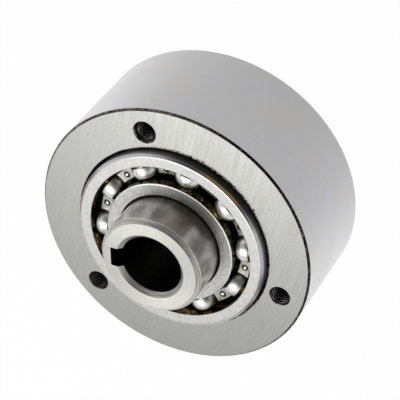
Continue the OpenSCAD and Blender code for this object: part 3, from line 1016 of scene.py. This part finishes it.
def cageMesh(name, side, outboard):
    size, circle = cage, clutch["ballCircle"]
    bm = bmesh.new()
    rows = []
    for row in range(size["rows"] + 1):
        across = size["half"] * (2 * row / size["rows"] - 1)
        line = pocketLine(across)
        line = [(-x, y) for x, y in reversed(line[1:-1])] + line
        rows.append([])
        for ball in range(clutch["balls"]):
            for x, y in line:
                z = side * (clutch["raceMiddle"] + outboard * y)
                spot = polarPoint(circle + across, ballAngle(name, ball) + x / circle, z)
                rows[-1].append(bm.verts.new(spot))
    quads(bm, rows)
    return bm


def makeCage(name, side):
    sheet = ("SOLIDIFY", dict(
        thickness=clutch["sheet"] - cage["thinner"], offset=0, use_even_offset=True,
        use_quality_normals=True, material_offset_rim=1))
    for half, outboard in (("Outboard", 1), ("Inboard", -1)):
        title = name + "Cage" + half
        piece(title, meshOf(cageMesh(name, side, outboard), title, ["cage", "cut"]),
              name + "_ball_cage", [f"{name}_cage_{half.lower()}"],
              [sheet, soften(cage["edge"], cage["edgeFrom"])], sharp=50)


# rivets through the flats of both cage halves, with a domed head at each end
rivet = dict(shank=0.45, rise=0.35, around=20, headSteps=6)


def makeRivets(name, side):
    size, head, rise, steps = rivet, clutch["rivetHead"], rivet["rise"], rivet["headSteps"]
    dome = (head ** 2 + rise ** 2) / (2 * rise)
    reach = asin(head / dome)
    top = clutch["sheet"] + rise
    line = [(dome * sin(reach * i / steps), top - dome + dome * cos(reach * i / steps))
            for i in range(1, steps + 1)]
    line += [(size["shank"], clutch["sheet"])]
    line += [(r, -z) for r, z in reversed(line)]
    turns = [tau * i / size["around"] for i in range(size["around"])]
    bm = bmesh.new()
    for i in range(clutch["balls"]):
        middle = polarPoint(clutch["ballCircle"], ballAngle(name, i + 0.5), side * clutch["raceMiddle"])
        rows = [[bm.verts.new(middle + polarPoint(r, a, z)) for a in turns] for r, z in line]
        quads(bm, rows)
        for row, z in ((rows[0], top), (rows[-1], -top)):
            tip = bm.verts.new(middle + Vector((0, 0, z)))
            for k in range(len(row)):
                bm.faces.new((row[k], row[(k + 1) % len(row)], tip))
    piece(name + "CageRivets", meshOf(bm, name + "CageRivets", ["rivet"]), name + "_ball_cage",
          [name + "_cage_rivets"], sharp=50)


for name, side in (("front", 1), ("rear", -1)):
    makeRaces(name, side)
    makeBalls(name, side)
    makeCage(name, side)
    makeRivets(name, side)
    print(name, "bearing assembled")


# sprags and their cages are closed in, and keep their solids with finishes of their own
inside = dict(sprag_outer_cage="retainer", sprag_inner_cage="retainer", sprag_spring="spring")
for node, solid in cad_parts.items():
    if node.startswith("sprag"):
        solid.data.materials.clear()
        solid.data.materials.append(finishes[inside.get(node, "sprag")])
print("sprags finished")


# studio: white floor and surroundings, a dark gap round the camera and a dimmer patch across from it
studio = dict(
    floor=-26.02, floorSize=3, floorWhite=0.98, paper=(0.9, 0.9, 0.9), white=(1, 1, 1),
    glossWhite=(1.35, 1.35, 1.35), gloss=(1, 0.28), glossEnds=(-0.015, 0.055),
    across=(0.66, 0.75, 0), sky=(0.7, 0.7, 0.707), horizon=(1.28, 1.28, 1.295),
    horizonHigh=(0.45, 0.1), gap=(0.05, 0.045, 0.04), gapAt=(0.48238, 0.48899, 0.72679),
    gapEdge=(0.66, 0.92), dim=(0.37, 0.37, 0.37), dimAt=(-0.56, -0.56, 0.61),
    dimEdge=(0.78, 0.95), dimHigh=(0.3, 0.55))


def makeFloor():
    bm = bmesh.new()
    reach = studio["floorSize"] / mm
    bm.faces.new([bm.verts.new((x * reach, y * reach, studio["floor"]))
                  for x, y in ((-1, -1), (1, -1), (1, 1), (-1, 1))])
    f = Finish("floorPaper")
    camera = f.add("LightPath", output="Is Camera Ray")
    gloss = f.add("LightPath", output="Is Glossy Ray")
    paper = f.add("BsdfDiffuse", inputs={"Color": studio["paper"]})
    white = f.mix(camera, studio["glossWhite"], studio["white"])
    glow = f.add("Emission", inputs={"Color": white, "Strength": 1.0})
    place = f.add("TexCoord", output="Object")
    side = f.vector("DOT_PRODUCT", {0: place, 1: studio["across"]}, "Value")
    near = f.fit(side, *studio["glossEnds"], studio["gloss"], smooth=True)
    share = camera * studio["floorWhite"] + gloss * near * (1 - camera)
    blend = f.add("MixShader", inputs={0: share, 1: paper, 2: glow})
    f.add("OutputMaterial", inputs={"Surface": blend})
    finishes["floor"] = f.material
    mesh = meshOf(bm, "floor", ["floor"])
    mesh.transform(Matrix.Scale(mm, 4))
    added("floor", mesh)


def makeWorld():
    world = bpy.data.worlds.new("studio")
    bpy.context.scene.world = world
    world.use_nodes = True
    f = Finish("studio", world.node_tree)
    way = f.vector("NORMALIZE", {0: f.add("TexCoord", output="Generated")})
    high = f.sum("ABSOLUTE", f.split(way)[2])
    toGap = f.vector("DOT_PRODUCT", {0: way, 1: studio["gapAt"]}, "Value")
    toDim = f.vector("DOT_PRODUCT", {0: way, 1: studio["dimAt"]}, "Value")
    dim = f.fit(toDim, *studio["dimEdge"], smooth=True) * f.fit(high, *studio["dimHigh"])
    shade = f.mix(f.fit(high, *studio["horizonHigh"]), studio["sky"], studio["horizon"])
    shade = f.mix(dim, shade, studio["dim"])
    shade = f.mix(f.fit(toGap, *studio["gapEdge"], smooth=True), shade, studio["gap"])
    shade = f.mix(f.add("LightPath", output="Is Camera Ray"), shade, studio["white"])
    back = f.add("Background", inputs={"Color": shade, "Strength": 1.0})
    f.add("OutputWorld", inputs={"Surface": back})


# one soft box above the clutch
faceBox = dict(place=(-0.1075, -0.066, 0.37), size=(0.335, 0.312), glow=1.78, tint=(1, 1, 0.98))


def makeLamp():
    data = bpy.data.lights.new("faceBox", "AREA")
    data.shape = "RECTANGLE"
    wide, deep = faceBox["size"]
    data.size, data.size_y = wide, deep
    data.color = faceBox["tint"]
    data.energy = faceBox["glow"] * pi * wide * deep
    lamp = added("faceBox", data)
    lamp.location = faceBox["place"]
    lamp.visible_camera = False


makeFloor()
makeWorld()
makeLamp()
print("studio lit")
